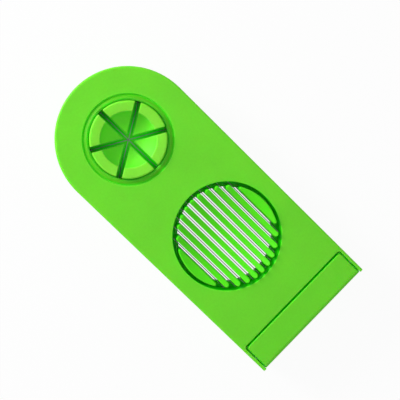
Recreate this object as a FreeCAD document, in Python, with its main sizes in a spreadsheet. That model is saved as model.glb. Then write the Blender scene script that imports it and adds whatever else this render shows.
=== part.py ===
"""Egg slicer with a slicing hole and a wedging hole, closed. Millimetres, +Z up, standing on Z = 0.

X runs along the object with the hinge at +X, Y across it. The origin is under the middle of the object.
"""
import FreeCAD, Part
import math
import os

import Sketcher

doc = FreeCAD.newDocument("egg_slicer")

# Driving sizes, one cell each
DRIVING_SIZES = {
    # Whole object
    "overall_length": 199.0,
    "overall_width": 86.0,
    "overall_height": 30.5,
    # Lid shell
    "lid_depth": 13.0,
    "lid_skin": 2.2,
    "lid_wall": 2.0,
    "lid_edge_radius": 1.2,
    "hole_edge_radius": 0.4,
    "notch_edge_radius": 0.4,
    "tube_wall": 1.6,
    "parting_gap": 0.3,
    "parting_edge_radius": 0.4,
    # The two holes in the lid
    "slicing_land": 10.2,
    "slicing_shift": -0.05,
    "wedging_hole_radius": 24.0,
    "recess_width": 3.0,
    "recess_depth": 1.2,
    "recess_rise": 1.1,
    # Wires, their crimped ends and the rings that hold them
    "wire_diameter": 0.5,
    "wire_clearance": 0.05,
    "slicing_wire_count": 10,
    "slicing_wire_drop": 11.25,
    "wedging_wire_count": 3,
    "wedging_wire_drop": 10.25,
    "wedging_wire_step": 0.55,
    "ferrule_diameter": 1.4,
    "ferrule_length": 2.0,
    "ferrule_gap": 0.35,
    "pocket_clearance": 0.1,
    "ring_inset": 0.25,
    "slicing_ring_lip": 0.2,
    "wedging_ring_lip": 0.2,
    "ring_margin": 0.6,
    "ring_edge_radius": 0.3,
    # Base tray
    "tray_wall": 2.2,
    "tray_floor": 2.2,
    "foot_edge_radius": 0.8,
    "seat_clearance": 0.1,
    "flange_width": 2.6,
    "flange_thickness": 1.5,
    # Slicing cradle
    "cradle_gap": 2.2,
    "cradle_rise": 2.5,
    "cradle_ring_wall": 1.4,
    "dish_depth": 8.0,
    "slicing_slot_width": 2.1,
    "slicing_slot_depth": 0.75,
    "segment_width": 5.7,
    "segment_tip_radius": 1.0,
    "bar_edge_radius": 0.4,
    # Wedging cup
    "cup_gap": 0.6,
    "cup_taper": 0.3,
    "cup_shoulder": 1.5,
    "cup_rise": 2.5,
    "cup_rim": 1.2,
    "cup_ledge_radius": 16.6,
    "cup_ledge_depth": 0.4,
    "cup_step": 5.1,
    "cup_bowl_depth": 6.2,
    "wedging_slot_width": 3.5,
    "wedging_slot_depth": 0.8,
    "cup_rim_radius": 1.0,
    "cup_ledge_edge_radius": 0.5,
    "cup_slot_edge_radius": 0.4,
    # Hinge block, ears and pin
    "block_length": 17.6,
    "notch_gap": 1.3,
    "side_gap": 1.0,
    "groove_depth": 2.2,
    "front_groove_depth": 5.0,
    "shoulder_gap": 0.3,
    "block_corner_radius": 1.8,
    "block_rear_radius": 2.5,
    "block_edge_radius": 0.5,
    "block_wall": 2.2,
    "block_end_wall": 3.0,
    "block_rib": 2.0,
    "block_cell_count": 5,
    "hinge_inset": 8.5,
    "hinge_drop": 4.0,
    "ear_clearance": 0.2,
    "pin_diameter": 3.0,
    "pin_clearance": 0.05,
    "pin_end_inset": 0.3,
    "pin_chamfer": 0.3,
}

sizes = doc.addObject("Spreadsheet::Sheet", "sizes")
for row, (alias, size) in enumerate(DRIVING_SIZES.items(), start=1):
    sizes.set(f"A{row}", alias)
    sizes.set(f"B{row}", str(size))
    sizes.setAlias(f"B{row}", alias)
doc.recompute()

# How far a cutting tool runs past the face that it opens
OVERRUN = "sizes.overall_height"

# Places along X
HINGE_END = "(sizes.overall_length / 2)"
HALF_WIDTH = "(sizes.overall_width / 2)"
ROUND_CENTRE = f"({HALF_WIDTH} - {HINGE_END})"
BLOCK_FRONT = f"({HINGE_END} - sizes.block_length)"
NOTCH_FACE = f"({BLOCK_FRONT} - sizes.notch_gap)"
HINGE_X = f"({HINGE_END} - sizes.hinge_inset)"
WEDGING_HOLE = "sizes.wedging_hole_radius"
RECESS_RADIUS = f"({WEDGING_HOLE} + sizes.recess_width)"
SLICING_CENTRE = f"(({ROUND_CENTRE} + {RECESS_RADIUS} + {NOTCH_FACE}) / 2 + sizes.slicing_shift)"

# Radii of the slicing hole, of the dish in it and of the cup in the wedging hole
SLICING_HOLE = f"({HALF_WIDTH} - sizes.slicing_land)"
CRADLE_RADIUS = f"({SLICING_HOLE} - sizes.cradle_gap)"
CUP_FOOT_RADIUS = f"({WEDGING_HOLE} - sizes.wedging_ring_lip - sizes.cup_gap)"
CUP_RIM_RADIUS = f"({CUP_FOOT_RADIUS} - sizes.cup_taper)"
SPIGOT_RADIUS = f"({CUP_FOOT_RADIUS} - sizes.cup_shoulder)"

# Distance of the outermost slicing wires from the middle, and from each wire to the next
OUTER_WIRE = f"({CRADLE_RADIUS} - sizes.segment_width - sizes.slicing_slot_width / 2)"
WIRE_PITCH = f"(2 * {OUTER_WIRE} / (sizes.slicing_wire_count - 1))"

# Half widths of the notch between the ears, of the block in it and of the block's shoulder
NOTCH_HALF = f"({HALF_WIDTH} - sizes.lid_wall)"
BLOCK_HALF = f"({NOTCH_HALF} - sizes.side_gap)"
SHOULDER_HALF = f"({NOTCH_HALF} - sizes.shoulder_gap)"

# Heights
CUP_TOP = "sizes.overall_height"
LID_TOP = f"({CUP_TOP} - sizes.cup_rise)"
CRADLE_TOP = f"({LID_TOP} + sizes.cradle_rise)"
RECESS_FLOOR = f"({LID_TOP} - sizes.recess_depth)"
RECESS_CREST = f"({RECESS_FLOOR} + sizes.recess_rise)"
LID_BOTTOM = f"({LID_TOP} - sizes.lid_depth)"
TRAY_TOP = f"({LID_BOTTOM} - sizes.parting_gap)"
FLOOR_UNDERSIDE = f"({TRAY_TOP} - sizes.tray_floor)"
FLANGE_UNDERSIDE = f"({FLOOR_UNDERSIDE} - sizes.flange_thickness)"
HINGE_Z = f"({LID_TOP} - sizes.hinge_drop)"
SHOULDER_TOP = f"({LID_TOP} - sizes.groove_depth)"
WIRE_RADIUS = "(sizes.wire_diameter / 2)"
SLICING_WIRE_Z = f"({LID_TOP} - sizes.slicing_wire_drop)"
WEDGING_WIRE_Z = f"({LID_TOP} - sizes.wedging_wire_drop)"
LOWEST_WEDGING_WIRE_Z = f"({WEDGING_WIRE_Z} - (sizes.wedging_wire_count - 1) * sizes.wedging_wire_step)"
RING_BOTTOM = f"({LID_BOTTOM} + sizes.ring_inset)"
SLICING_RING_TOP = f"({SLICING_WIRE_Z} + {WIRE_RADIUS})"
WEDGING_RING_TOP = f"({WEDGING_WIRE_Z} + {WIRE_RADIUS})"
SLICING_SLOT_FLOOR = f"({SLICING_WIRE_Z} - {WIRE_RADIUS} - sizes.slicing_slot_depth)"
WEDGING_SLOT_FLOOR = f"({LOWEST_WEDGING_WIRE_Z} - {WIRE_RADIUS} - sizes.wedging_slot_depth)"

# Finished pieces, in the order they are written
pieces = []

# Two places closer than this are the same place
SAME = 1e-4


def number(expression):
    """Give the present value of an expression of the sheet's sizes."""
    return float(sizes.evalExpression(expression))


def bind(thing, **properties):
    """Tie each named property of a document object to an expression."""
    for name, expression in properties.items():
        thing.setExpression(name, expression)


def place(thing, x, y, z, turn=None):
    """Put a document object at x, y, z, turned first by a fixed rotation."""
    if turn is not None:
        thing.Placement = FreeCAD.Placement(FreeCAD.Vector(), turn)
    for axis, expression in zip("xyz", (x, y, z)):
        thing.setExpression(f".Placement.Base.{axis}", expression)


def box(name, length, width, height, x, z, y="0", turn=0.0):
    """Make a box that is centred on x, y in plan, stands on z and is turned about its upright axis."""
    thing = doc.addObject("Part::Box", name)
    bind(thing, Length=length, Width=width, Height=height)
    cosine = math.cos(math.radians(turn))
    sine = math.sin(math.radians(turn))
    corner_x = f"{x} - ({length}) / 2 * {cosine:.9f} + ({width}) / 2 * {sine:.9f}"
    corner_y = f"{y} - ({length}) / 2 * {sine:.9f} - ({width}) / 2 * {cosine:.9f}"
    place(thing, corner_x, corner_y, z, FreeCAD.Rotation(FreeCAD.Vector(0, 0, 1), turn))
    return thing


def span(name, start, end, half_width, low, high):
    """Make a box from start to end along X, on both sides of the middle, from low to high."""
    middle = f"(({start} + {end}) / 2)"
    return box(name, f"{end} - {start}", f"2 * {half_width}", f"{high} - {low}", middle, low)


def upright(name, radius, low, high, x, y="0"):
    """Make an upright cylinder from low to high."""
    thing = doc.addObject("Part::Cylinder", name)
    bind(thing, Radius=radius, Height=f"{high} - {low}")
    place(thing, x, y, low)
    return thing


def crosswise(name, radius, length, x, z):
    """Make a cylinder that lies across the object, centred on the middle."""
    thing = doc.addObject("Part::Cylinder", name)
    bind(thing, Radius=radius, Height=length)
    place(thing, x, f"-({length}) / 2", z, FreeCAD.Rotation(FreeCAD.Vector(1, 0, 0), -90))
    return thing


def ball(name, radius, x, z):
    """Make a sphere on the object's middle plane."""
    thing = doc.addObject("Part::Sphere", name)
    bind(thing, Radius=radius)
    place(thing, x, "0", z)
    return thing


def fuse(name, things):
    """Join objects into one solid."""
    thing = doc.addObject("Part::MultiFuse", name)
    thing.Shapes = things
    thing.Refine = True
    return thing


def cut(name, base, tools):
    """Take the tools away from the base."""
    thing = doc.addObject("Part::Cut", name)
    thing.Base = base
    thing.Tool = tools[0] if len(tools) == 1 else fuse(f"{name}_tools", tools)
    thing.Refine = True
    return thing


def common(name, first, second):
    """Keep what two objects share."""
    thing = doc.addObject("Part::Common", name)
    thing.Base = first
    thing.Tool = second
    return thing


def rounded(name, base, radius_of):
    """Round each edge of the base for which radius_of gives the name of a radius."""
    doc.recompute()
    thing = doc.addObject("Part::Fillet", name)
    thing.Base = base
    chosen = []
    for index, edge in enumerate(base.Shape.Edges, start=1):
        radius_name = None if edge.Degenerated else radius_of(edge)
        if radius_name:
            radius = number(f"sizes.{radius_name}")
            chosen.append((index, radius, radius))
    thing.Edges = chosen
    return thing


def finished(thing, label):
    """Name a finished piece."""
    thing.Label = label
    pieces.append(thing)


def level(edge, height):
    """Say whether an edge lies flat at a height."""
    return all(abs(vertex.Z - height) < SAME for vertex in edge.Vertexes)


def standing(edge):
    """Say whether an edge is an upright straight line."""
    return isinstance(edge.Curve, Part.Line) and abs(edge.Curve.Direction.z) > 1 - SAME


def halfway(edge):
    """Give the point halfway along an edge."""
    return edge.valueAt((edge.FirstParameter + edge.LastParameter) / 2)


def from_axis(point, centre):
    """Give a point's distance from an upright axis on the middle plane."""
    return math.hypot(point.x - number(centre), point.y)


def on_outline(edge):
    """Say whether an edge runs along the outer outline, its square end left out."""
    point = halfway(edge)
    if point.x < number(ROUND_CENTRE):
        return abs(from_axis(point, ROUND_CENTRE) - number(HALF_WIDTH)) < SAME
    return abs(abs(point.y) - number(HALF_WIDTH)) < SAME


def outline(name, inset, end, low, high):
    """Make the plate outline, one end round and one end square, set in from the outside."""
    radius = f"({HALF_WIDTH} - {inset})"
    round_end = upright(f"{name}_round_end", radius, low, high, ROUND_CENTRE)
    straight = span(f"{name}_straight", ROUND_CENTRE, end, radius, low, high)
    return fuse(name, [round_end, straight])


# Offsets of the slicing wires across the object and directions of the wedging wires in plan
slicing_count = int(number("sizes.slicing_wire_count"))
slicing_offsets = [
    f"(({place_in_row} - (sizes.slicing_wire_count - 1) / 2) * {WIRE_PITCH})"
    for place_in_row in range(slicing_count)
]
wedging_count = int(number("sizes.wedging_wire_count"))
wedging_turns = [180.0 * (wedging_count - 1 + order) / wedging_count for order in range(wedging_count)]
wedging_levels = [
    f"({WEDGING_WIRE_Z} - {order} * sizes.wedging_wire_step)"
    for order in range(wedging_count)
]


# Base tray: a shell open below, with the hinge block rising from its square end
def block_edge_radius(edge):
    """Round the block's front corners, its rear top edge and, slightly, its other top edges."""
    middle = edge.CenterOfMass
    at_front = abs(middle.x - number(BLOCK_FRONT)) < SAME
    at_rear = abs(middle.x - number(HINGE_END)) < SAME
    if standing(edge) and at_front:
        return "block_corner_radius"
    if level(edge, number(LID_TOP)):
        return "block_rear_radius" if at_rear else "block_edge_radius"
    return None


def shoulder_corner_radius(edge):
    """Round the shoulder's two upright front corners like the block's."""
    at_front = abs(edge.CenterOfMass.x - number(SHOULDER_FRONT)) < SAME
    return "block_corner_radius" if standing(edge) and at_front else None


def tray_edge_radius(edge):
    """Round the outer edge that the tray stands on and, slightly, the one that meets the lid."""
    if not on_outline(edge):
        return None
    if level(edge, 0.0):
        return "foot_edge_radius"
    return "parting_edge_radius" if level(edge, number(TRAY_TOP)) else None


tray_block = outline("tray_block", "0", HINGE_END, "0", TRAY_TOP)
tray_edged = rounded("tray_edged", tray_block, tray_edge_radius)
tray_hollow = outline("tray_hollow", "sizes.tray_wall", BLOCK_FRONT, f"-{OVERRUN}", FLOOR_UNDERSIDE)
hinge_block = rounded(
    "hinge_block",
    span("hinge_block_blank", BLOCK_FRONT, HINGE_END, BLOCK_HALF, "0", LID_TOP),
    block_edge_radius,
)
BARREL_RADIUS = f"({HINGE_X} - {NOTCH_FACE} - sizes.shoulder_gap)"
SHOULDER_FRONT = f"({HINGE_X} - {BARREL_RADIUS})"
shoulder_block = rounded(
    "shoulder_block",
    span("shoulder_blank", SHOULDER_FRONT, HINGE_END, SHOULDER_HALF, FLOOR_UNDERSIDE, SHOULDER_TOP),
    shoulder_corner_radius,
)
barrel_corner = cut(
    "barrel_corner",
    span("barrel_blank", f"({SHOULDER_FRONT} - {OVERRUN})", HINGE_X, "sizes.overall_width",
         HINGE_Z, LID_TOP),
    [crosswise("barrel", BARREL_RADIUS, "3 * sizes.overall_width", HINGE_X, HINGE_Z)],
)
front_groove = span("front_groove", f"({SHOULDER_FRONT} - {OVERRUN})", BLOCK_FRONT, NOTCH_HALF,
                    f"({LID_TOP} - sizes.front_groove_depth)", LID_TOP)
hinge_shoulder = cut("hinge_shoulder", shoulder_block, [barrel_corner, front_groove])
tray_shell = cut("tray_shell", tray_edged, [tray_hollow])
tray_openings = [
    upright("cradle_seat", f"{CRADLE_RADIUS} + sizes.seat_clearance", "0", LID_TOP, SLICING_CENTRE),
    upright("cup_seat", f"{SPIGOT_RADIUS} + sizes.seat_clearance", "0", LID_TOP, ROUND_CENTRE),
    crosswise("pin_bore", "sizes.pin_diameter / 2 + sizes.pin_clearance", "sizes.overall_width",
              HINGE_X, HINGE_Z),
]
cell_count = int(number("sizes.block_cell_count"))
CELL_ROW = f"(2 * ({BLOCK_HALF} - sizes.block_end_wall))"
CELL_WIDTH = f"(({CELL_ROW} - (sizes.block_cell_count - 1) * sizes.block_rib) / sizes.block_cell_count)"
for cell in range(cell_count):
    tray_openings.append(box(
        f"block_cell_{cell + 1}",
        "sizes.block_length - 2 * sizes.block_wall",
        CELL_WIDTH,
        f"{LID_TOP} - sizes.block_wall + {OVERRUN}",
        f"({HINGE_END} - sizes.block_length / 2)",
        f"-{OVERRUN}",
        y=f"(({cell} - (sizes.block_cell_count - 1) / 2) * ({CELL_WIDTH} + sizes.block_rib))",
    ))
tray_with_block = fuse("tray_with_block", [tray_shell, hinge_block, hinge_shoulder])
finished(cut("base_tray_solid", tray_with_block, tray_openings), "base_tray")


# Slicing cradle: round-ended bars on a ring, hollowed by a dish, with a flange under the tray's floor
def segment_tip_radius(edge):
    """Round the two upright tips of an end segment."""
    return "segment_tip_radius" if standing(edge) else None


BAR_WIDTH = f"({WIRE_PITCH} - sizes.slicing_slot_width)"
cradle_things = [
    upright("cradle_ring", CRADLE_RADIUS, FLANGE_UNDERSIDE, SLICING_SLOT_FLOOR, SLICING_CENTRE),
    upright("cradle_flange", f"{CRADLE_RADIUS} + sizes.flange_width", FLANGE_UNDERSIDE,
            FLOOR_UNDERSIDE, SLICING_CENTRE),
]
OPENING_RADIUS = f"({CRADLE_RADIUS} - sizes.cradle_ring_wall)"
cradle_opening = upright("cradle_opening", OPENING_RADIUS, "0", SLICING_SLOT_FLOOR, SLICING_CENTRE)
cradle_frame = cut("cradle_frame", fuse("cradle_frame_blank", cradle_things), [cradle_opening])
bars = []
for gap in range(slicing_count - 1):
    offset = f"(({gap} - (sizes.slicing_wire_count - 2) / 2) * {WIRE_PITCH})"
    reach = f"sqrt(({CRADLE_RADIUS} - {BAR_WIDTH} / 2) ^ 2 - {offset} ^ 2)"
    bars.append(box(f"bar_{gap + 1}", f"2 * {reach}", BAR_WIDTH, f"{CRADLE_TOP} - {FLOOR_UNDERSIDE}",
                    SLICING_CENTRE, FLOOR_UNDERSIDE, y=offset))
    for end, sign in (("near", "+"), ("far", "-")):
        bars.append(upright(f"bar_{gap + 1}_{end}_tip", f"{BAR_WIDTH} / 2", FLOOR_UNDERSIDE, CRADLE_TOP,
                            f"{SLICING_CENTRE} {sign} {reach}", offset))
SEGMENT_FACE = f"({CRADLE_RADIUS} - sizes.segment_width)"
for side, sign in (("left", "-"), ("right", "")):
    disc = upright(f"segment_disc_{side}", CRADLE_RADIUS, FLOOR_UNDERSIDE, CRADLE_TOP, SLICING_CENTRE)
    half = box(f"segment_half_{side}", f"2 * {CRADLE_RADIUS}", CRADLE_RADIUS,
               f"{CRADLE_TOP} - {FLOOR_UNDERSIDE}", SLICING_CENTRE, FLOOR_UNDERSIDE,
               y=f"{sign}({SEGMENT_FACE} + {CRADLE_RADIUS} / 2)")
    segment = common(f"segment_{side}", disc, half)
    bars.append(rounded(f"segment_rounded_{side}", segment, segment_tip_radius))
DISH_RADIUS = f"(({CRADLE_RADIUS} ^ 2 + sizes.dish_depth ^ 2) / (2 * sizes.dish_depth))"
DISH_Z = f"({CRADLE_TOP} - sizes.dish_depth + {DISH_RADIUS})"
dish = ball("dish", DISH_RADIUS, SLICING_CENTRE, DISH_Z)
dish_centre = FreeCAD.Vector(number(SLICING_CENTRE), 0, number(DISH_Z))


def bar_edge_radius(edge):
    """Round the edges of the dish, along the bars and round their tips."""
    points = (halfway(edge), edge.Vertexes[0].Point, edge.Vertexes[-1].Point)
    on_dish = all(abs((point - dish_centre).Length - number(DISH_RADIUS)) < SAME for point in points)
    return "bar_edge_radius" if on_dish else None


cradle_cut = cut("cradle_cut", fuse("cradle_blank", [cradle_frame] + bars), [dish])
finished(rounded("slicing_cradle_solid", cradle_cut, bar_edge_radius), "slicing_cradle")


# Wedging cup: a stepped bowl in a tapered post, split by slots, with a spigot down into the tray's floor
cup_post = doc.addObject("Part::Cone", "cup_post")
bind(cup_post, Radius1=CUP_FOOT_RADIUS, Radius2=CUP_RIM_RADIUS, Height=f"{CUP_TOP} - {TRAY_TOP}")
place(cup_post, ROUND_CENTRE, "0", TRAY_TOP)
cup_spigot = upright("cup_spigot", SPIGOT_RADIUS, FLOOR_UNDERSIDE, TRAY_TOP, ROUND_CENTRE)
LEDGE_Z = f"({CUP_TOP} - sizes.cup_ledge_depth)"
BOWL_Z = f"({LEDGE_Z} - sizes.cup_step)"
cup_funnel = doc.addObject("Part::Cone", "cup_funnel")
bind(cup_funnel, Radius1="sizes.cup_ledge_radius", Radius2=f"{CUP_RIM_RADIUS} - sizes.cup_rim",
     Height="sizes.cup_ledge_depth")
place(cup_funnel, ROUND_CENTRE, "0", LEDGE_Z)
cup_well = upright("cup_well", "sizes.cup_ledge_radius", BOWL_Z, LEDGE_Z, ROUND_CENTRE)
BOWL_RADIUS = "((sizes.cup_ledge_radius ^ 2 + sizes.cup_bowl_depth ^ 2) / (2 * sizes.cup_bowl_depth))"
cup_ball = ball("cup_ball", BOWL_RADIUS, ROUND_CENTRE, f"{BOWL_Z} - sizes.cup_bowl_depth + {BOWL_RADIUS}")
cup_lower = upright("cup_lower", "sizes.cup_ledge_radius", FLOOR_UNDERSIDE, BOWL_Z, ROUND_CENTRE)
cup_bowl = common("cup_bowl", cup_ball, cup_lower)
cup_hollow = fuse("cup_hollow", [cup_funnel, cup_well, cup_bowl])
cup_turned = cut("cup_turned", fuse("cup_blank", [cup_post, cup_spigot]), [cup_hollow])


def cup_circle_radius(edge):
    """Round the cup's outer rim and the edge where its ledge meets the bowl."""
    if not isinstance(edge.Curve, Part.Circle):
        return None
    on_rim = level(edge, number(CUP_TOP)) and abs(edge.Curve.Radius - number(CUP_RIM_RADIUS)) < SAME
    if on_rim:
        return "cup_rim_radius"
    return "cup_ledge_edge_radius" if level(edge, number(LEDGE_Z)) else None


def cup_slot_radius(edge):
    """Round the edges of the slots, their floors left out."""
    point = halfway(edge)
    if point.z < number(WEDGING_SLOT_FLOOR) + SAME:
        return None
    half = number("sizes.wedging_slot_width") / 2
    across = point.x - number(ROUND_CENTRE)
    for turn in wedging_turns:
        off_slot = point.y * math.cos(math.radians(turn)) - across * math.sin(math.radians(turn))
        if abs(abs(off_slot) - half) < SAME:
            return "cup_slot_edge_radius"
    return None


cup_slots = [
    box(f"cup_slot_{order}", f"3 * {CUP_FOOT_RADIUS}", "sizes.wedging_slot_width",
        f"{CUP_TOP} - {WEDGING_SLOT_FLOOR} + {OVERRUN}", ROUND_CENTRE, WEDGING_SLOT_FLOOR, turn=turn)
    for order, turn in enumerate(wedging_turns, start=1)
]
cup_slotted = cut("cup_slotted", rounded("cup_edged", cup_turned, cup_circle_radius), cup_slots)
finished(rounded("wedging_cup_solid", cup_slotted, cup_slot_radius), "wedging_cup")


# Lid: a shallow shell with a tube round each hole, one of them recessed, and an ear on each side of a notch
def notch_corner_radius(edge):
    """Round the notch's two upright inner corners about the block's own."""
    at_face = abs(edge.CenterOfMass.x - number(NOTCH_FACE)) < SAME
    return "block_corner_radius" if standing(edge) and at_face else None


def lid_edge_radius(edge):
    """Round the lid's edges: outside, round the holes and, slightly, along notch, recess and parting."""
    if on_outline(edge) and level(edge, number(LID_BOTTOM)):
        return "parting_edge_radius"
    point = halfway(edge)
    at_wedging_hole = abs(from_axis(point, ROUND_CENTRE) - number(WEDGING_HOLE)) < SAME
    if at_wedging_hole and level(edge, number(RECESS_CREST)):
        return "hole_edge_radius"
    if not level(edge, number(LID_TOP)):
        return None
    if on_outline(edge):
        return "lid_edge_radius"
    if abs(from_axis(point, SLICING_CENTRE) - number(SLICING_HOLE)) < SAME:
        return "hole_edge_radius"
    at_end = abs(point.x - number(HINGE_END)) < SAME
    return None if at_end else "notch_edge_radius"


def hole_tube(name, hole_radius, low, centre):
    """Make the tube that stiffens the lid round a hole and seats its wire ring."""
    return upright(name, f"{hole_radius} + sizes.tube_wall", low, LID_TOP, centre)


lid_blank = outline("lid_blank", "0", HINGE_END, LID_BOTTOM, LID_TOP)
lid_hollow = outline("lid_hollow", "sizes.lid_wall", f"({NOTCH_FACE} - sizes.lid_wall)",
                     f"({LID_BOTTOM} - {OVERRUN})", f"({LID_TOP} - sizes.lid_skin)")
lid_shell = cut("lid_shell", lid_blank, [lid_hollow])
lid_with_tubes = fuse("lid_with_tubes", [
    lid_shell,
    hole_tube("slicing_tube", SLICING_HOLE, SLICING_RING_TOP, SLICING_CENTRE),
    hole_tube("wedging_tube", WEDGING_HOLE, WEDGING_RING_TOP, ROUND_CENTRE),
])
notch = rounded(
    "notch",
    span("notch_blank", NOTCH_FACE, f"({HINGE_END} + {OVERRUN})", NOTCH_HALF, "0", f"(2 * {LID_TOP})"),
    notch_corner_radius,
)
EAR_RADIUS = f"({HINGE_Z} - {TRAY_TOP} - sizes.ear_clearance)"
ear_swing = cut(
    "ear_swing",
    span("ear_corner", HINGE_X, f"({HINGE_END} + {OVERRUN})", "sizes.overall_width", "0", HINGE_Z),
    [crosswise("ear_round", EAR_RADIUS, "3 * sizes.overall_width", HINGE_X, HINGE_Z)],
)
recess_cone = doc.addObject("Part::Cone", "recess_cone")
bind(recess_cone, Radius1=RECESS_RADIUS, Radius2=WEDGING_HOLE, Height="sizes.recess_rise")
place(recess_cone, ROUND_CENTRE, "0", RECESS_FLOOR)
recess_blank = upright("recess_blank", RECESS_RADIUS, RECESS_FLOOR, f"2 * {LID_TOP}", ROUND_CENTRE)
lid_cuts = [
    upright("slicing_hole", SLICING_HOLE, "0", f"2 * {LID_TOP}", SLICING_CENTRE),
    upright("wedging_hole", WEDGING_HOLE, "0", f"2 * {LID_TOP}", ROUND_CENTRE),
    cut("wedging_recess", recess_blank, [recess_cone]),
    notch,
    ear_swing,
    crosswise("ear_holes", "sizes.pin_diameter / 2", "2 * sizes.overall_width", HINGE_X, HINGE_Z),
]
lid_frame = rounded("lid_frame_solid", cut("lid_cut", lid_with_tubes, lid_cuts), lid_edge_radius)
finished(lid_frame, "lid_frame")


# Wires: straight round bars, each a sketched circle padded both ways from the middle
def round_bar(label, diameter, length, plane_role):
    """Make a round bar as a body with one padded circle, square to an origin plane."""
    body = doc.addObject("PartDesign::Body", label)
    plane = next(item for item in body.Origin.OriginFeatures if item.Role == plane_role)
    circle = body.newObject("Sketcher::SketchObject", f"{label}_section")
    circle.AttachmentSupport = (plane, [""])
    circle.MapMode = "FlatFace"
    start_radius = number(diameter) / 2
    circle.addGeometry(Part.Circle(FreeCAD.Vector(), FreeCAD.Vector(0, 0, 1), start_radius), False)
    circle.addConstraint(Sketcher.Constraint("Coincident", 0, 3, -1, 1))
    radius = circle.addConstraint(Sketcher.Constraint("Radius", 0, start_radius))
    circle.setExpression(f"Constraints[{radius}]", f"{diameter} / 2")
    pad = body.newObject("PartDesign::Pad", f"{label}_length")
    pad.Profile = circle
    pad.SideType = "Symmetric"
    pad.setExpression("Length", length)
    finished(body, label)
    return body, pad


def ferrule_start(hole_radius, offset):
    """Give how far from the middle of its wire a ferrule starts, just outside the lid's tube."""
    inner_side = f"(abs({offset}) - sizes.ferrule_diameter / 2)"
    return f"sqrt(({hole_radius} + sizes.tube_wall + sizes.ferrule_gap) ^ 2 - {inner_side} ^ 2)"


def crimped_wire(label, centre, offset, height, start, turn):
    """Make a wire and its two ferrules, and give the tools that seat them in a ring."""
    wire, _ = round_bar(label, "sizes.wire_diameter", f"2 * ({start} + sizes.ferrule_length)", "YZ_Plane")
    place(wire, centre, offset, height, FreeCAD.Rotation(FreeCAD.Vector(0, 0, 1), turn))
    cosine = math.cos(math.radians(turn))
    sine = math.sin(math.radians(turn))
    groove_width = "sizes.wire_diameter + 2 * sizes.wire_clearance"
    groove_floor = f"({height} - {WIRE_RADIUS} - sizes.wire_clearance)"
    groove = box(f"{label}_groove", f"2 * {start}", groove_width, OVERRUN,
                 centre, groove_floor, offset, turn)
    tools = [groove]
    ferrules = []
    ferrule_middle = f"({start} + sizes.ferrule_length / 2)"
    pocket_floor = f"({height} - sizes.ferrule_diameter / 2 - sizes.pocket_clearance)"
    for end, sign in (("near", "+"), ("far", "-")):
        name = f"{label}_{end}_ferrule"
        x = f"{centre} {sign} {ferrule_middle} * {cosine:.9f}"
        y = f"{offset} {sign} {ferrule_middle} * {sine:.9f}"
        tools.append(box(f"{name}_pocket", "sizes.ferrule_length + 2 * sizes.pocket_clearance",
                         "sizes.ferrule_diameter + 2 * sizes.pocket_clearance", OVERRUN,
                         x, pocket_floor, y, turn))
        ferrules.append(sleeve(name, x, y, height, cosine, sine))
    return tools, ferrules


def sleeve(name, x, y, z, cosine, sine):
    """Make one crimped sleeve round a wire, centred on x, y, z."""
    lying = FreeCAD.Rotation(FreeCAD.Vector(0, 0, 1), FreeCAD.Vector(cosine, sine, 0))
    half = "sizes.ferrule_length / 2"
    rounds = []
    for layer, diameter in (("outside", "ferrule_diameter"), ("bore", "wire_diameter")):
        part = doc.addObject("Part::Cylinder", f"{name}_{layer}")
        bind(part, Radius=f"sizes.{diameter} / 2", Height="sizes.ferrule_length")
        place(part, f"{x} - {half} * {cosine:.9f}", f"{y} - {half} * {sine:.9f}", z, lying)
        rounds.append(part)
    return cut(name, rounds[0], [rounds[1]])


def wire_ring(label, hole_radius, lip, top, outer, centre, tools):
    """Make a flat ring under a hole of the lid, grooved for the wires and pocketed for their ferrules."""
    eye_radius = f"({hole_radius} - {lip})"
    disc = upright(f"{label}_disc", outer, RING_BOTTOM, top, centre)
    eye = upright(f"{label}_eye", eye_radius, RING_BOTTOM, top, centre)

    def eye_edge_radius(edge):
        """Round the top edge of the ring's eye."""
        at_eye = abs(from_axis(halfway(edge), centre) - number(eye_radius)) < SAME
        return "ring_edge_radius" if at_eye and level(edge, number(top)) else None

    blank = rounded(f"{label}_blank", cut(f"{label}_turned", disc, [eye]), eye_edge_radius)
    finished(cut(f"{label}_solid", blank, tools), label)


def ferrule_group(label, ferrules):
    """Keep all ferrules of one hole together as separate solids."""
    group = doc.addObject("Part::Compound", f"{label}_group")
    group.Links = ferrules
    finished(group, label)


slicing_tools = []
slicing_ferrules = []
for order, offset in enumerate(slicing_offsets, start=1):
    start = ferrule_start(SLICING_HOLE, offset)
    label = f"slicing_wire_{order:02d}"
    tools, ferrules = crimped_wire(label, SLICING_CENTRE, offset, SLICING_WIRE_Z, start, 0.0)
    slicing_tools += tools
    slicing_ferrules += ferrules

wedging_tools = []
wedging_ferrules = []
for order, (turn, height) in enumerate(zip(wedging_turns, wedging_levels), start=1):
    start = ferrule_start(WEDGING_HOLE, "0")
    tools, ferrules = crimped_wire(f"wedging_wire_{order}", ROUND_CENTRE, "0", height, start, turn)
    wedging_tools += tools
    wedging_ferrules += ferrules


def ring_outside(start, offset):
    """Give the radius that holds a ferrule's far corner, its pocket and a margin round it."""
    far_end = f"({start} + sizes.ferrule_length + sizes.pocket_clearance)"
    far_side = f"(abs({offset}) + sizes.ferrule_diameter / 2 + sizes.pocket_clearance)"
    return f"(sqrt({far_end} ^ 2 + {far_side} ^ 2) + sizes.ring_margin)"


outermost = slicing_offsets[0]
wire_ring("slicing_wire_ring", SLICING_HOLE, "sizes.slicing_ring_lip", SLICING_RING_TOP,
          ring_outside(ferrule_start(SLICING_HOLE, outermost), outermost), SLICING_CENTRE, slicing_tools)
wire_ring("wedging_wire_ring", WEDGING_HOLE, "sizes.wedging_ring_lip", WEDGING_RING_TOP,
          ring_outside(ferrule_start(WEDGING_HOLE, "0"), "0"), ROUND_CENTRE, wedging_tools)
ferrule_group("slicing_wire_ferrules", slicing_ferrules)
ferrule_group("wedging_wire_ferrules", wedging_ferrules)

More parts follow.
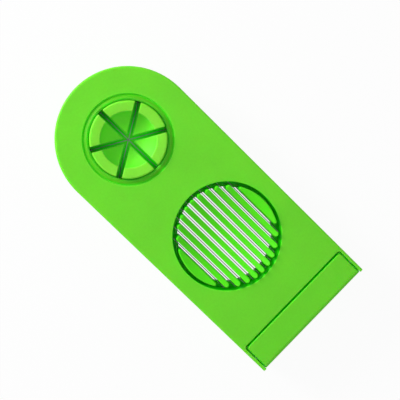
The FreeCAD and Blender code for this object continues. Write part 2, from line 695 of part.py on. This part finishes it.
# Hinge pin: pressed into both ears and turning in the block
hinge_pin, pin_pad = round_bar("hinge_pin", "sizes.pin_diameter",
                               "sizes.overall_width - 2 * sizes.pin_end_inset", "XZ_Plane")
doc.recompute()
pin_ends = hinge_pin.newObject("PartDesign::Chamfer", "pin_ends")
pin_ends.Base = (pin_pad, [
    f"Edge{index}" for index, edge in enumerate(pin_pad.Shape.Edges, start=1)
    if isinstance(edge.Curve, Part.Circle)
])
pin_ends.setExpression("Size", "sizes.pin_chamfer")
hinge_pin.Tip = pin_ends
place(hinge_pin, HINGE_X, "0", HINGE_Z)

# Test every object, then write the pieces
doc.recompute()
for thing in doc.Objects:
    if {"Invalid", "Error"} & set(thing.State):
        raise RuntimeError(f"{thing.Name} is {thing.State}")
os.makedirs("parts", exist_ok=True)
for piece in pieces:
    shape = piece.Shape
    if shape.isNull() or not shape.isValid() or not shape.Solids:
        raise RuntimeError(f"{piece.Label} has no valid solid")
for piece in pieces:
    piece.Shape.exportStep(os.path.join("parts", f"{piece.Label}.step"))
    print(f"{piece.Label}: {len(piece.Shape.Solids)} solid, {piece.Shape.Volume / 1000:.3f} cm3")
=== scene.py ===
import math

import bpy
from mathutils import Matrix, Vector


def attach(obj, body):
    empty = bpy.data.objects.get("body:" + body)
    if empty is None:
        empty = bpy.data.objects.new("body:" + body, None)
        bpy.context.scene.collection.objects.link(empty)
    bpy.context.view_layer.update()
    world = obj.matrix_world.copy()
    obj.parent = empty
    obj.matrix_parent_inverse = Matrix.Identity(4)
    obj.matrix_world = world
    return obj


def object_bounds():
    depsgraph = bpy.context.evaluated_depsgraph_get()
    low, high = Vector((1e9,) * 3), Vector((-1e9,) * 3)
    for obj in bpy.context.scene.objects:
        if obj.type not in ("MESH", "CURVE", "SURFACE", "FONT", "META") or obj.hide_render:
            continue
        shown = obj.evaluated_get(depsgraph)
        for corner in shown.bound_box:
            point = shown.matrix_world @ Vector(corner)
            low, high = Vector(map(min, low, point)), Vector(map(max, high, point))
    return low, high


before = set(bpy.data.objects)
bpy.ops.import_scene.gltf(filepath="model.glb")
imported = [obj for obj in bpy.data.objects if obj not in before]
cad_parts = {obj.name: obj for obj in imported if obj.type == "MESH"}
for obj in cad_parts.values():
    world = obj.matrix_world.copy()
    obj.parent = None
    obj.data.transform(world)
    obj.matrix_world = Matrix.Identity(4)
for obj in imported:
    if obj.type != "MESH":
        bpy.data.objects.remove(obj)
cad_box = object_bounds()

# Base tray: the shallow foot of the slicer, open below, with the hinge block standing up at its square end.
# It is one shot of satin green polypropylene from a lightly sparked mould, so the skin has a fine grain.
# The dish and the cup sit in its floor, and the lid's pin runs through its block.
TRAY_GREEN = (0.190, 0.800, 0.026)
# Painted highlight: the rounded edges are paled towards this lighter green.
TRAY_EDGE_HIGHLIGHT = (0.30, 0.90, 0.080)
# Painted shade: hollows and gaps are coloured towards this deeper green, which stands in for the shade deep
# in them.
HOLLOW_SHADE_GREEN = (0.022, 0.940, 0.0008)
PLASTIC_IOR = 1.49
PLASTIC_GLOSS = 0.20
LIGHT_SHARE = 0.9
LIGHT_SPREAD = (0.3, 1.0, 0.1)
NOISE_SPAN = (0.3, 0.7)
CLOUD_SCALE, CLOUD_DETAIL = 34.0, 3.0
CLOUD_TONES = (0.965, 1.035)
CLOUD_DULLING = 0.08
SPECK_SCALE, SPECK_DETAIL = 900.0, 2.0
SPECK_TONES = (0.98, 1.02)
GRAIN_SCALE, GRAIN_DETAIL = 2600.0, 2.0
GRAIN_HEIGHT = 0.00006
HOLLOW_REACH = 0.022
HOLLOW_SPAN = (0.32, 1.0)
HOLLOW_SAMPLES = 8
EDGE_SPAN = (0.995, 0.80)
EDGE_POLISH = -0.10
EDGE_SAMPLES = 6


def add_node(tree, kind, inputs=None, **settings):
    """Add one node, set its properties and fill its inputs with values or with other nodes' outputs."""
    node = tree.nodes.new(kind)
    for name, value in settings.items():
        setattr(node, name, value)
    for name, value in (inputs or {}).items():
        if isinstance(value, bpy.types.NodeSocket):
            tree.links.new(value, node.inputs[name])
        else:
            node.inputs[name].default_value = value
    return node


def new_group(name, inputs, outputs):
    """Start a shader node group with named sockets, and give its tree, its inputs and its output node."""
    group = bpy.data.node_groups.new(name, "ShaderNodeTree")
    for socket, (kind, value) in inputs.items():
        group.interface.new_socket(socket, in_out="INPUT", socket_type=kind).default_value = value
    for socket, kind in outputs.items():
        group.interface.new_socket(socket, in_out="OUTPUT", socket_type=kind)
    return group, group.nodes.new("NodeGroupInput").outputs, group.nodes.new("NodeGroupOutput").inputs


def noise(tree, place, scale, detail):
    """Lay noise of the given scale over the piece, and give its value."""
    texture = add_node(tree, "ShaderNodeTexNoise", {"Vector": place, "Scale": scale, "Detail": detail})
    return texture.outputs["Fac"]


def remap(tree, value, span, target=(0.0, 1.0)):
    """Map a value from one span to another, and give the result."""
    ends = {"From Min": span[0], "From Max": span[1], "To Min": target[0], "To Max": target[1]}
    return add_node(tree, "ShaderNodeMapRange", {"Value": value, **ends}).outputs["Result"]


def scale_and_add(tree, value, factor, base):
    """Multiply a value by a factor, add it to a base, and give the sum."""
    total = add_node(tree, "ShaderNodeMath", {0: value, 1: factor, 2: base}, operation="MULTIPLY_ADD")
    return total.outputs["Value"]


def tone_colour(tree, colour, tone):
    """Brighten or darken a colour by a tone, and give the new colour."""
    toned = add_node(tree, "ShaderNodeVectorMath", {0: colour, "Scale": tone}, operation="SCALE")
    return toned.outputs["Vector"]


def blend_colours(tree, share, first, second):
    """Blend from the first colour to the second by a share, and give the blend."""
    # A Mix node takes its colours at inputs 6 and 7, and gives their blend at output 2.
    mix = add_node(tree, "ShaderNodeMix", {0: share, 6: first, 7: second}, data_type="RGBA")
    return mix.outputs[2]


def skin_and_painted_light_group():
    """Make a moulding's skin: cloudy tone, sparked grain, painted shade that deepens the hollows, and painted
    highlights that pale the edges, which are also smoother.
    """
    group, given, result = new_group(
        "skin_and_painted_light",
        {
            "Colour": ("NodeSocketColor", (0.5, 0.5, 0.5, 1.0)),
            "Hollow Shade Colour": ("NodeSocketColor", (0.3, 0.3, 0.3, 1.0)),
            "Edge Highlight Colour": ("NodeSocketColor", (0.8, 0.8, 0.8, 1.0)),
            "Edge Width": ("NodeSocketFloat", 0.0005),
            "Grain": ("NodeSocketFloat", 0.2),
            "Roughness": ("NodeSocketFloat", 0.4),
        },
        {"Colour": "NodeSocketColor", "Roughness": "NodeSocketFloat", "Normal": "NodeSocketVector"},
    )
    place = add_node(group, "ShaderNodeTexCoord").outputs["Object"]
    cloud = noise(group, place, CLOUD_SCALE, CLOUD_DETAIL)
    speck = noise(group, place, SPECK_SCALE, SPECK_DETAIL)
    cloud_tone = remap(group, cloud, NOISE_SPAN, CLOUD_TONES)
    speck_tone = remap(group, speck, NOISE_SPAN, SPECK_TONES)
    tone = add_node(group, "ShaderNodeMath", {0: cloud_tone, 1: speck_tone}, operation="MULTIPLY")
    toned = tone_colour(group, given["Colour"], tone.outputs["Value"])

    # Painted shade: the less open a spot is, the more its colour turns to the hollow shade colour.
    hollow = add_node(group, "ShaderNodeAmbientOcclusion", {"Distance": HOLLOW_REACH}, samples=HOLLOW_SAMPLES)
    open_share = remap(group, hollow.outputs["AO"], HOLLOW_SPAN)
    shade_painted = blend_colours(group, open_share, given["Hollow Shade Colour"], toned)

    # Painted highlight: rounded edges are paled towards the edge highlight colour, and are also made a little
    # smoother.
    rounded = add_node(group, "ShaderNodeBevel", {"Radius": given["Edge Width"]}, samples=EDGE_SAMPLES)
    facing = add_node(group, "ShaderNodeNewGeometry").outputs["Normal"]
    turn = add_node(group, "ShaderNodeVectorMath", {0: rounded.outputs["Normal"], 1: facing},
                    operation="DOT_PRODUCT")
    edge = remap(group, turn.outputs["Value"], EDGE_SPAN)
    edge_highlighted = blend_colours(group, edge, shade_painted, given["Edge Highlight Colour"])
    rubbed = scale_and_add(group, edge, EDGE_POLISH, given["Roughness"])
    patchy = scale_and_add(group, cloud, CLOUD_DULLING, rubbed)

    grain = noise(group, place, GRAIN_SCALE, GRAIN_DETAIL)
    bump = add_node(group, "ShaderNodeBump", {"Height": grain, "Strength": given["Grain"],
                                              "Distance": GRAIN_HEIGHT})
    group.links.new(edge_highlighted, result["Colour"])
    group.links.new(patchy, result["Roughness"])
    group.links.new(bump.outputs["Normal"], result["Normal"])
    return group


skin_and_painted_light = skin_and_painted_light_group()


def skinned_material(name, skin_group, skin_values, surface_values):
    """Make a material whose shader takes its colour, roughness and normal from a skin."""
    material = bpy.data.materials.new(name)
    material.use_nodes = True
    tree = material.node_tree
    skin = add_node(tree, "ShaderNodeGroup", skin_values, name=skin_group.name, node_tree=skin_group)
    surface = tree.nodes["Principled BSDF"]
    for made, taken in (("Colour", "Base Color"), ("Roughness", "Roughness"), ("Normal", "Normal")):
        tree.links.new(skin.outputs[made], surface.inputs[taken])
    for socket, value in surface_values.items():
        surface.inputs[socket].default_value = value
    return material


def green_plastic(name, colour, edge_highlight_colour, edge_width, grain, roughness, light_depth):
    """Make a green plastic: the skin, with its painted shade and highlights, over a body that lets a little
    light in to the given depth.
    """
    skin_values = {
        "Colour": (*colour, 1.0),
        "Hollow Shade Colour": (*HOLLOW_SHADE_GREEN, 1.0),
        "Edge Highlight Colour": (*edge_highlight_colour, 1.0),
        "Edge Width": edge_width,
        "Grain": grain,
        "Roughness": roughness,
    }
    surface_values = {
        "IOR": PLASTIC_IOR,
        "Specular IOR Level": PLASTIC_GLOSS,
        "Subsurface Weight": LIGHT_SHARE,
        "Subsurface Radius": LIGHT_SPREAD,
        "Subsurface Scale": light_depth,
    }
    return skinned_material(name, skin_and_painted_light, skin_values, surface_values)


def finish_node(name, material):
    """Give a piece of the frame its finish."""
    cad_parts[name].material_slots[0].material = material


tray_green = green_plastic("tray_green", TRAY_GREEN, TRAY_EDGE_HIGHLIGHT, edge_width=0.0007, grain=0.20,
                           roughness=0.44, light_depth=0.0020)
finish_node("base_tray", tray_green)

# Slicing dish: nine round-ended bars and two end segments on a ring, hollowed to take an egg lying down.
# It is moulded apart in the same green, from a smoother mould, and pushed up through the tray's floor.
# The wires of the closed lid lie low in the slots between its bars.
DISH_GREEN = (0.120, 0.880, 0.008)
# The paler edge green is a painted highlight along the dish's rounded edges.
DISH_EDGE_HIGHLIGHT = (0.26, 0.92, 0.080)

dish_green = green_plastic("dish_green", DISH_GREEN, DISH_EDGE_HIGHLIGHT, edge_width=0.0005, grain=0.08,
                           roughness=0.46, light_depth=0.0024)
finish_node("slicing_cradle", dish_green)

# Wedging cup: a stepped bowl in a round post, split six ways by the slots for the three crossing wires.
# It is moulded apart like the dish, in a paler green, and its spigot sits in the tray's floor.
# An egg stands in it while the lid's wires come down.
CUP_GREEN = (0.270, 0.850, 0.048)
# The paler edge green is a painted highlight along the cup's rounded edges.
CUP_EDGE_HIGHLIGHT = (0.42, 0.95, 0.170)

cup_green = green_plastic("cup_green", CUP_GREEN, CUP_EDGE_HIGHLIGHT, edge_width=0.0008, grain=0.08,
                          roughness=0.48, light_depth=0.0026)
finish_node("wedging_cup", cup_green)

# Lid: a shallow green shell with a tube round each of its two holes and an ear on each side of the block.
# It is one shot of the tray's plastic, with the same sparked skin, and a painted highlight pales its rounded
# edges.
# A shallow ledge that falls away outwards runs round the wedging hole, and painted shade colours it a deeper
# green.
LID_GREEN = (0.198, 0.805, 0.026)
LID_EDGE_HIGHLIGHT = (0.33, 0.91, 0.110)
LEDGE_SHADE_GREEN = (0.150, 0.580, 0.007)
ROUND_END = cad_box[0].x
HALF_WIDTH = cad_box[1].y
HOLE_CENTRE = Vector((ROUND_END + HALF_WIDTH, 0.0, 0.0))
HOLE_RADIUS = 0.0240
LEDGE_WIDTH = 0.0030
LEDGE_SPILL = 0.0001
LEDGE_BLUR = 0.0002
LEVEL_PART = (1.0, 1.0, 0.0)

lid_green = green_plastic("lid_green", LID_GREEN, LID_EDGE_HIGHLIGHT, edge_width=0.0008, grain=0.18,
                          roughness=0.42, light_depth=0.0020)
lid_tree = lid_green.node_tree
# Painted shade: the lid inside a circle just past the ledge's outer edge is coloured the deeper ledge green.
lid_place = add_node(lid_tree, "ShaderNodeTexCoord").outputs["Object"]
from_centre = add_node(lid_tree, "ShaderNodeVectorMath", {0: lid_place, 1: HOLE_CENTRE}, operation="SUBTRACT")
in_plan = add_node(lid_tree, "ShaderNodeVectorMath", {0: from_centre.outputs["Vector"], 1: LEVEL_PART},
                   operation="MULTIPLY")
distance = add_node(lid_tree, "ShaderNodeVectorMath", {0: in_plan.outputs["Vector"]}, operation="LENGTH")
ledge_end = HOLE_RADIUS + LEDGE_WIDTH + LEDGE_SPILL
past_ledge_shade = remap(lid_tree, distance.outputs["Value"], (ledge_end, ledge_end + LEDGE_BLUR))
lid_colour_with_ledge_shade = blend_colours(lid_tree, past_ledge_shade, (*LEDGE_SHADE_GREEN, 1.0), (*LID_GREEN, 1.0))
lid_tree.links.new(lid_colour_with_ledge_shade, lid_tree.nodes[skin_and_painted_light.name].inputs["Colour"])
finish_node("lid_frame", lid_green)

# Hole lip: a thin rounded lip inside the wedging hole, just under its edge, that reaches close to the cup.
# It is moulded with the lid, keeps crumbs of egg out of the gap, and clears the cup as the lid swings up.
CUP_RISE = 0.0025
LIP_DROP = 0.0006
LIP_THICKNESS = 0.0008
LIP_REACH = 0.0006
LIP_ROOT = 0.0001
LIP_ROUND = 0.0003
LIP_BENDS = 4
LIP_STEPS = 240
LIP_SHARP_ANGLE = 40.0

lid_top = cad_box[1].z - CUP_RISE
lip_top = lid_top - LIP_DROP
lip_bottom = lip_top - LIP_THICKNESS
lip_inside = HOLE_RADIUS - LIP_REACH
lip_outside = HOLE_RADIUS + LIP_ROOT
lip_profile = [(lip_outside, lip_bottom), (lip_outside, lip_top)]
for bend in range(LIP_BENDS + 1):
    angle = math.radians(90.0 + 90.0 * bend / LIP_BENDS)
    lip_profile.append((lip_inside + LIP_ROUND * (1.0 + math.cos(angle)),
                        lip_top - LIP_ROUND * (1.0 - math.sin(angle))))
lip_profile.append((lip_inside, lip_bottom))

lip_points, lip_faces = [], []
for step in range(LIP_STEPS):
    swing = 2.0 * math.pi * step / LIP_STEPS
    for radius, height in lip_profile:
        lip_points.append(HOLE_CENTRE + Vector((radius * math.cos(swing), radius * math.sin(swing), height)))
    here = step * len(lip_profile)
    following = (step + 1) % LIP_STEPS * len(lip_profile)
    for low in range(len(lip_profile)):
        high = (low + 1) % len(lip_profile)
        lip_faces.append((here + low, following + low, following + high, here + high))
lip_mesh = bpy.data.meshes.new("wedging_hole_lip")
lip_mesh.from_pydata(lip_points, [], lip_faces)
lip_mesh.shade_smooth()
lip_mesh.set_sharp_from_angle(angle=math.radians(LIP_SHARP_ANGLE))
lip_mesh.materials.append(lid_green)
lip = bpy.data.objects.new("wedging_hole_lip", lip_mesh)
bpy.context.scene.collection.objects.link(lip)
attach(lip, "lid")

# Wire rings: two flat rings snapped under the lid's holes, grooved on top to clamp the wires and their ends.
# They are plain mouldings in the same green, and show little until the lid is opened.
RING_GREEN = (0.120, 0.800, 0.006)
# The paler edge green is a painted highlight along the rings' rounded edges.
RING_EDGE_HIGHLIGHT = (0.20, 0.86, 0.040)

ring_green = green_plastic("ring_green", RING_GREEN, RING_EDGE_HIGHLIGHT, edge_width=0.0003, grain=0.12,
                           roughness=0.42, light_depth=0.0020)
for ring in ("slicing_wire_ring", "wedging_wire_ring"):
    finish_node(ring, ring_green)

# Cutting wires: ten level wires over the dish and three that cross over the cup, each 0.5 mm thick.
# They are hard drawn stainless steel, pulled tight in the rings, with faint lines along them from the die.
# The three over the cup are a darker grey, painted shade for the depth of the cup's slots.
WIRE_GREY = (0.40, 0.41, 0.39)
WEDGING_SHADED_GREY = (0.24, 0.25, 0.23)
WIRE_ROUGHNESS = 0.30
WIRE_STRETCH = (60.0, 9000.0, 9000.0)
SLICING_WIRES = 10
WEDGING_TURNS = (120.0, 180.0, 240.0)
LINE_SCALE, LINE_DETAIL = 1.0, 3.0
LINE_TONES = (0.88, 1.08)
LINE_DULLING = 0.14
LINE_STRENGTH = 0.25
LINE_HEIGHT = 0.00001


def drawn_steel_group():
    """Make steel with fine lines that run along one direction in plan."""
    group, given, result = new_group(
        "drawn_steel",
        {
            "Colour": ("NodeSocketColor", (0.6, 0.6, 0.6, 1.0)),
            "Roughness": ("NodeSocketFloat", 0.3),
            "Turn": ("NodeSocketVector", (0.0, 0.0, 0.0)),
            "Stretch": ("NodeSocketVector", WIRE_STRETCH),
        },
        {"Colour": "NodeSocketColor", "Roughness": "NodeSocketFloat", "Normal": "NodeSocketVector"},
    )
    place = add_node(group, "ShaderNodeTexCoord").outputs["Object"]
    turned = add_node(group, "ShaderNodeVectorRotate", {"Vector": place, "Rotation": given["Turn"]},
                      rotation_type="EULER_XYZ")
    along = add_node(group, "ShaderNodeVectorMath", {0: turned.outputs["Vector"], 1: given["Stretch"]},
                     operation="MULTIPLY")
    lines = noise(group, along.outputs["Vector"], LINE_SCALE, LINE_DETAIL)
    toned = tone_colour(group, given["Colour"], remap(group, lines, NOISE_SPAN, LINE_TONES))
    rough = scale_and_add(group, lines, LINE_DULLING, given["Roughness"])
    bump = add_node(group, "ShaderNodeBump", {"Height": lines, "Strength": LINE_STRENGTH,
                                              "Distance": LINE_HEIGHT})
    group.links.new(toned, result["Colour"])
    group.links.new(rough, result["Roughness"])
    group.links.new(bump.outputs["Normal"], result["Normal"])
    return group


drawn_lines = drawn_steel_group()


def drawn_steel(name, colour, roughness, stretch, turn=0.0):
    """Make a stainless steel, with its lines stretched as given once the piece is turned."""
    skin_values = {
        "Colour": (*colour, 1.0),
        "Roughness": roughness,
        "Turn": (0.0, 0.0, turn),
        "Stretch": stretch,
    }
    return skinned_material(name, drawn_lines, skin_values, {"Metallic": 1.0})


slicing_steel = drawn_steel("slicing_wire_steel", WIRE_GREY, WIRE_ROUGHNESS, WIRE_STRETCH)
for order in range(1, SLICING_WIRES + 1):
    finish_node(f"slicing_wire_{order:02d}", slicing_steel)
for order, turn in enumerate(WEDGING_TURNS, start=1):
    wedging_steel = drawn_steel(f"wedging_wire_{order}_steel", WEDGING_SHADED_GREY, WIRE_ROUGHNESS, WIRE_STRETCH,
                                turn=math.radians(-turn))
    finish_node(f"wedging_wire_{order}", wedging_steel)

# Ferrules: short stainless sleeves crimped on both ends of each wire, which stop it pulling out of its ring.
# They lie in pockets of the rings, so little of them shows.
# The crimping jaws have left them dull and dented.
CRIMPED_GREY = (0.50, 0.50, 0.49)
CRIMPED_STRETCH = (1800.0, 1800.0, 1800.0)

crimped_steel = drawn_steel("crimped_steel", CRIMPED_GREY, roughness=0.34, stretch=CRIMPED_STRETCH)
for ferrules in ("slicing_wire_ferrules", "wedging_wire_ferrules"):
    finish_node(ferrules, crimped_steel)

# Hinge pin: a ground stainless rod through both ears of the lid and the tray's block.
# It is pressed into the ears, so it turns with the lid, and its chamfered ends show in the sides.
PIN_GREY = (0.34, 0.34, 0.33)
PIN_STRETCH = (1500.0, 9000.0, 1500.0)

finish_node("hinge_pin", drawn_steel("pin_steel_ground", PIN_GREY, roughness=0.30, stretch=PIN_STRETCH))

# Floor: a wide matt white sheet that the slicer stands on, so pale that it meets the white behind it.
# It shows white to the eye and in the steel, and keeps a trace of the slicer's soft shadow.
FLOOR_HALF = 3.0
FLOOR_DROP = 0.0001
FLOOR_GREY = (0.90, 0.90, 0.90, 1.0)
FLOOR_GLOW = 0.94
WHITE = (1.0, 1.0, 1.0, 1.0)

floor_mesh = bpy.data.meshes.new("floor")
floor_corners = ((-FLOOR_HALF, -FLOOR_HALF), (FLOOR_HALF, -FLOOR_HALF),
                 (FLOOR_HALF, FLOOR_HALF), (-FLOOR_HALF, FLOOR_HALF))
floor_mesh.from_pydata([(x, y, -FLOOR_DROP) for x, y in floor_corners], [], [(0, 1, 2, 3)])
floor = bpy.data.objects.new("floor", floor_mesh)
bpy.context.scene.collection.objects.link(floor)


def seen_directly(tree):
    """Give 1 where a ray comes from the eye, from a mirror or through glass, and 0 for other light."""
    path = tree.nodes.new("ShaderNodeLightPath").outputs
    mirrored = add_node(tree, "ShaderNodeMath", {0: path["Is Camera Ray"], 1: path["Is Glossy Ray"]},
                        operation="MAXIMUM")
    seen = add_node(tree, "ShaderNodeMath", {0: mirrored.outputs["Value"], 1: path["Is Transmission Ray"]},
                    operation="MAXIMUM")
    return seen.outputs["Value"]


floor_white = bpy.data.materials.new("floor_white")
floor_white.use_nodes = True
floor_tree = floor_white.node_tree
floor_tree.nodes.remove(floor_tree.nodes["Principled BSDF"])
paper = add_node(floor_tree, "ShaderNodeBsdfDiffuse", {"Color": FLOOR_GREY})
glow = add_node(floor_tree, "ShaderNodeEmission", {"Color": WHITE, "Strength": 1.0})
glow_share = add_node(floor_tree, "ShaderNodeMath", {0: seen_directly(floor_tree), 1: FLOOR_GLOW},
                      operation="MULTIPLY")
floor_mix = add_node(floor_tree, "ShaderNodeMixShader", {
    0: glow_share.outputs["Value"],
    1: paper.outputs["BSDF"],
    2: glow.outputs["Emission"],
})
floor_tree.links.new(floor_mix.outputs["Shader"], floor_tree.nodes["Material Output"].inputs["Surface"])
floor_mesh.materials.append(floor_white)

# Studio: a white surround, one soft lamp low over the round end and a larger, weaker one nearly overhead.
# The low lamp shades the side of the bowl that is next to it, and the ledge's side towards the hinge.
SURROUND_STRENGTH = 0.40
SEEN_STRENGTH = 1.0

world = bpy.data.worlds.new("studio")
bpy.context.scene.world = world
world.use_nodes = True
sky = world.node_tree
sky.nodes.clear()
surround = add_node(sky, "ShaderNodeBackground", {"Color": WHITE, "Strength": SURROUND_STRENGTH})
backdrop = add_node(sky, "ShaderNodeBackground", {"Color": WHITE, "Strength": SEEN_STRENGTH})
sky_mix = add_node(sky, "ShaderNodeMixShader", {
    0: seen_directly(sky),
    1: surround.outputs["Background"],
    2: backdrop.outputs["Background"],
})
sky_out = sky.nodes.new("ShaderNodeOutputWorld")
sky.links.new(sky_mix.outputs["Shader"], sky_out.inputs["Surface"])


def soft_lamp(name, place, size, power):
    """Hang a square soft lamp that points at the middle of the slicer."""
    lamp = bpy.data.lights.new(name, "AREA")
    lamp.size = size
    lamp.energy = power
    holder = bpy.data.objects.new(name, lamp)
    holder.location = place
    holder.rotation_euler = (-Vector(place)).to_track_quat("-Z", "Y").to_euler()
    bpy.context.scene.collection.objects.link(holder)


soft_lamp("side_lamp", place=(-0.92, -0.24, 0.44), size=0.30, power=8.8)
soft_lamp("top_lamp", place=(-0.10, -0.10, 1.30), size=1.00, power=1.8)

# Camera: half a metre above the wedging cup, turned so that the slicer lies along the picture's diagonal.
# It looks almost straight down, so the dish is seen slightly from the round end's side.
EYE = Vector((-0.05545, -0.00256, 0.51753))
RIGHT = Vector((0.7109, 0.69779, 0.08777))
UP = Vector((-0.6947, 0.71618, -0.06694))
BACK = Vector((-0.10957, -0.01339, 0.99389))
SENSOR_WIDTH = 36.0
LENS = 74.7
NEAREST_SEEN = 0.01

camera_data = bpy.data.cameras.new("camera")
camera_data.sensor_width = SENSOR_WIDTH
camera_data.lens = LENS
camera_data.clip_start = NEAREST_SEEN
camera = bpy.data.objects.new("camera", camera_data)
camera_turn = Matrix((RIGHT, UP, BACK)).transposed().to_4x4()
camera.matrix_world = Matrix.Translation(EYE) @ camera_turn
bpy.context.scene.collection.objects.link(camera)
bpy.context.scene.camera = camera
bpy.context.scene.view_settings.view_transform = "Standard"
